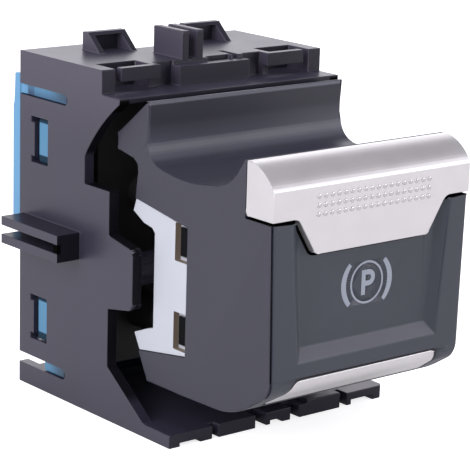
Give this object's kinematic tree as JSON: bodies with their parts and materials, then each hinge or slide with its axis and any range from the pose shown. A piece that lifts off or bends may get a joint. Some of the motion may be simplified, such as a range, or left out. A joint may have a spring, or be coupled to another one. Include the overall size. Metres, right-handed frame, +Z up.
{
  "type": "electric parking brake switch",
  "caption": "Electric parking brake switch for a centre console, with a rocking paddle, silver grip trim and a lit parking symbol.",
  "frame": {"origin": "underside of the housing, in the middle of its width, level with the front edge of the roof", "axes": "+X to the right seen from the paddle side, +Y from the paddle towards the connector, +Z up"},
  "size_m": [0.0576, 0.0794, 0.0649],
  "materials": {
    "housing_black": "black glass-filled moulding with a faint sheen",
    "cover_blue": "bright blue moulding",
    "paddle_black": "fine-textured black moulding",
    "panel_black": "soft-touch black, fine matt grain",
    "trim_silver": "satin silver plating on plastic",
    "symbol_grey": "translucent light grey, lit from behind",
    "carrier_white": "white moulding",
    "pin_steel": "bright steel",
    "guide_clear": "clear polished plastic",
    "block_black": "black moulding",
    "plunger_natural": "natural acetal",
    "dome_rubber": "grey silicone dome",
    "board_green": "green solder mask",
    "led_white": "white lamp body",
    "chip_black": "black moulded circuit",
    "terminal_brass": "tinned brass pins"
  },
  "bodies": {
    "base": {"housing": "housing_black", "rear_cover": "cover_blue", "switch_block": "block_black", "circuit_board": "board_green", "symbol_led": "led_white", "control_chip": "chip_black", "pivot_pin_left": "pin_steel", "pivot_pin_right": "pin_steel", "contact_dome_upper_left": "dome_rubber", "contact_dome_upper_right": "dome_rubber", "contact_dome_lower_left": "dome_rubber", "contact_dome_lower_right": "dome_rubber", "spring_upper_left": "pin_steel", "spring_upper_right": "pin_steel", "spring_lower_left": "pin_steel", "spring_lower_right": "pin_steel", "terminal_pin_1": "terminal_brass", "terminal_pin_2": "terminal_brass", "terminal_pin_3": "terminal_brass", "terminal_pin_4": "terminal_brass", "terminal_pin_5": "terminal_brass", "terminal_pin_6": "terminal_brass", "terminal_pin_7": "terminal_brass", "terminal_pin_8": "terminal_brass"},
    "paddle": {"paddle_shell": "paddle_black", "carrier": "carrier_white", "face_panel": "panel_black", "grip_trim": "trim_silver", "lower_trim": "trim_silver", "park_symbol": "symbol_grey", "light_guide": "guide_clear"},
    "plunger_upper_left": {"plunger_upper_left": "plunger_natural"},
    "plunger_upper_right": {"plunger_upper_right": "plunger_natural"},
    "plunger_lower_left": {"plunger_lower_left": "plunger_natural"},
    "plunger_lower_right": {"plunger_lower_right": "plunger_natural"}
  },
  "joints": [
    {"name": "paddle_hinge", "type": "hinge", "parent": "base", "child": "paddle", "pos_m": [0, -0.0035, 0.0261], "axis": [1, 0, 0], "range_deg": [-4, 6], "stiffness_Nm_per_rad": 2},
    {"name": "plunger_upper_left_slide", "type": "slide", "parent": "base", "child": "plunger_upper_left", "axis": [0, 1, 0], "range_m": [-0.00125, 0.00085], "deforming": ["spring_upper_left"]},
    {"name": "plunger_upper_right_slide", "type": "slide", "parent": "base", "child": "plunger_upper_right", "axis": [0, 1, 0], "range_m": [-0.00125, 0.00085], "deforming": ["spring_upper_right"]},
    {"name": "plunger_lower_left_slide", "type": "slide", "parent": "base", "child": "plunger_lower_left", "axis": [0, 1, 0], "range_m": [-0.00085, 0.00125], "deforming": ["spring_lower_left"]},
    {"name": "plunger_lower_right_slide", "type": "slide", "parent": "base", "child": "plunger_lower_right", "axis": [0, 1, 0], "range_m": [-0.00085, 0.00125], "deforming": ["spring_lower_right"]}
  ],
  "couplings": [
    {"joint": "plunger_upper_left_slide", "follows": "paddle_hinge", "m_per_rad": -0.0105},
    {"joint": "plunger_upper_right_slide", "follows": "paddle_hinge", "m_per_rad": -0.0105},
    {"joint": "plunger_lower_left_slide", "follows": "paddle_hinge", "m_per_rad": 0.0105},
    {"joint": "plunger_lower_right_slide", "follows": "paddle_hinge", "m_per_rad": 0.0105}
  ]
}
